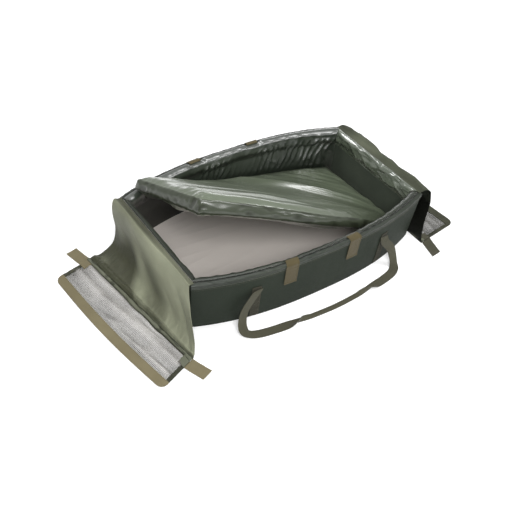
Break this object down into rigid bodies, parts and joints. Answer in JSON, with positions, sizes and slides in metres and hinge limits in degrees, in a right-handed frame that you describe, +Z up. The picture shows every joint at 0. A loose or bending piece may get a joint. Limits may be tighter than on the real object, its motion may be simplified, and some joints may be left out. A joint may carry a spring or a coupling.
{
  "type": "unhooking mat",
  "caption": "Padded boat-shaped fish cradle with a loose mat, folding net-ended flaps, webbing tabs and carrying handles.",
  "frame": {"origin": "middle of the tub's base, on the ground", "axes": "+X along the tub to the end whose flap folds back on itself, +Z up, +Y to the far long wall"},
  "size_m": [1.679, 0.9714, 0.4196],
  "materials": {
    "shell_fabric": "matt woven",
    "wall_lining": "matt",
    "glossy_lining": "glossy coated",
    "floor_fabric": "matt",
    "pad_cover": "glossy coated",
    "foam": "closed-cell foam, matt",
    "flap_fabric": "satin woven",
    "net": "knitted mesh",
    "webbing": "woven webbing",
    "handle_webbing": "woven webbing",
    "binding_tape": "woven tape"
  },
  "bodies": {
    "tub": {"bottom_panel": "shell_fabric", "base_core": "foam", "floor_panel": "floor_fabric", "near_outer_panel": "shell_fabric", "near_wall_core": "foam", "near_lining": "glossy_lining", "near_rim_binding": "shell_fabric", "far_outer_panel": "shell_fabric", "far_wall_core": "foam", "far_lining": "glossy_lining", "far_rim_binding": "shell_fabric", "left_outer_panel": "shell_fabric", "left_wall_core": "foam", "left_lining": "wall_lining", "left_rim_binding": "flap_fabric", "left_cuff": "glossy_lining", "right_outer_panel": "shell_fabric", "right_wall_core": "foam", "right_lining": "wall_lining", "right_rim_binding": "flap_fabric", "right_cuff": "glossy_lining", "near_left_catch_tab": "webbing", "near_right_catch_tab": "webbing", "far_left_catch_tab": "webbing", "far_right_catch_tab": "webbing", "near_left_handle_anchor": "handle_webbing", "near_right_handle_anchor": "handle_webbing", "far_left_handle_anchor": "handle_webbing", "far_right_handle_anchor": "handle_webbing"},
    "pad": {"pad_cover": "pad_cover", "pad_core": "foam"},
    "near_handle": {"near_handle": "handle_webbing"},
    "far_handle": {"far_handle": "handle_webbing"},
    "left_flap": {"left_flap_fabric": "flap_fabric"},
    "left_net_end": {"left_seam_tape": "flap_fabric", "left_net": "net", "left_far_tape": "binding_tape", "left_near_tape": "binding_tape", "left_edge_webbing": "webbing", "left_far_tab_patch": "webbing", "left_near_tab_patch": "webbing"},
    "left_far_tab": {"left_far_tab": "webbing"},
    "left_near_tab": {"left_near_tab": "webbing"},
    "right_flap_top": {"right_flap_upper": "flap_fabric"},
    "right_flap_bottom": {"right_flap_lower": "flap_fabric"},
    "right_net_end": {"right_seam_tape": "flap_fabric", "right_net": "net", "right_far_tape": "binding_tape", "right_near_tape": "binding_tape", "right_edge_webbing": "webbing", "right_far_tab_patch": "webbing", "right_near_tab_patch": "webbing"},
    "right_far_tab": {"right_far_tab": "webbing"},
    "right_near_tab": {"right_near_tab": "webbing"}
  },
  "joints": [
    {"name": "pad_lift", "type": "slide", "parent": "tub", "child": "pad", "axis": [0, 0, 1], "range_m": [0, 0.3]},
    {"name": "near_handle_hinge", "type": "hinge", "parent": "tub", "child": "near_handle", "pos_m": [0, -0.35026, 0.155], "axis": [-1, 0, 0], "range_deg": [0, 150]},
    {"name": "far_handle_hinge", "type": "hinge", "parent": "tub", "child": "far_handle", "pos_m": [0, 0.35026, 0.155], "axis": [1, 0, 0], "range_deg": [0, 150]},
    {"name": "left_flap_hinge", "type": "hinge", "parent": "tub", "child": "left_flap", "pos_m": [-0.5501, 0, 0.2389], "axis": [0, -1, 0], "range_deg": [-166, 0]},
    {"name": "left_seam_hinge", "type": "hinge", "parent": "left_flap", "child": "left_net_end", "pos_m": [-0.6656, -0.0765, 0.0006], "axis": [-0.1342, 0.9909, 0], "range_deg": [-66, 60]},
    {"name": "left_far_tab_hinge", "type": "hinge", "parent": "left_net_end", "child": "left_far_tab", "pos_m": [-0.73683, 0.24639, 0.0006], "axis": [0.9731, 0.2305, 0], "range_deg": [0, 90]},
    {"name": "left_near_tab_hinge", "type": "hinge", "parent": "left_net_end", "child": "left_near_tab", "pos_m": [-0.64678, -0.41619, 0.0006], "axis": [-0.9264, -0.3764, 0], "range_deg": [0, 90]},
    {"name": "right_flap_hinge", "type": "hinge", "parent": "tub", "child": "right_flap_top", "pos_m": [0.5501, 0, 0.2389], "axis": [0, 1, 0], "range_deg": [-172, 0]},
    {"name": "right_fold_hinge", "type": "hinge", "parent": "right_flap_top", "child": "right_flap_bottom", "pos_m": [0.6401, 0, 0.16], "axis": [0, 1, 0], "range_deg": [-110, 0]},
    {"name": "right_seam_hinge", "type": "hinge", "parent": "right_flap_bottom", "child": "right_net_end", "pos_m": [0.5736, 0, 0.0006], "axis": [0, -1, 0], "range_deg": [-110, 34]},
    {"name": "right_far_tab_hinge", "type": "hinge", "parent": "right_net_end", "child": "right_far_tab", "pos_m": [0.59347, 0.31168, 0.0006], "axis": [0.9988, 0.0492, 0], "range_deg": [0, 90]},
    {"name": "right_near_tab_hinge", "type": "hinge", "parent": "right_net_end", "child": "right_near_tab", "pos_m": [0.60144, -0.3419, 0.0006], "axis": [-0.9908, -0.1357, 0], "range_deg": [0, 90]}
  ]
}
